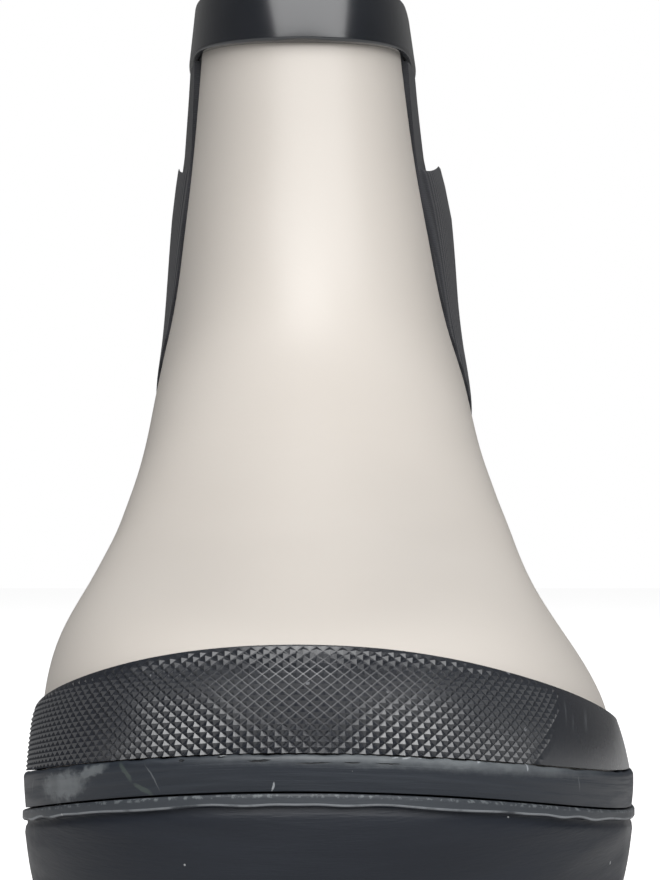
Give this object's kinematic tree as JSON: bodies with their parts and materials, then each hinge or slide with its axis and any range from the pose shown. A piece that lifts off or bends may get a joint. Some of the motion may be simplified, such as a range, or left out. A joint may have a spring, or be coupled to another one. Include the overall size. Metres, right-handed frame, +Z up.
{
  "type": "rubber boot",
  "caption": "Left pull-on rubber ankle boot with elastic side gores, textured toe guard, foxing strip, dark collar band and lugged sole with a low heel.",
  "frame": {"origin": "middle of the outline on the floor: the bottom centre of the bounding box", "axes": "+Y from toe to heel, +X to the outer side, +Z up"},
  "size_m": [0.1038, 0.2758, 0.1958],
  "materials": {
    "upper_rubber": "smooth glossy",
    "collar_rubber": "glossy",
    "elastic": "woven elastic",
    "guard_rubber": "satin",
    "sole_rubber": "dusty satin",
    "insole_cloth": "matt"
  },
  "bodies": {
    "root": {"upper": "upper_rubber", "collar_band": "collar_rubber", "gore_outer": "elastic", "gore_inner": "elastic", "toe_guard": "guard_rubber", "foxing": "guard_rubber", "outsole": "sole_rubber", "insole": "insole_cloth"}
  },
  "joints": []
}
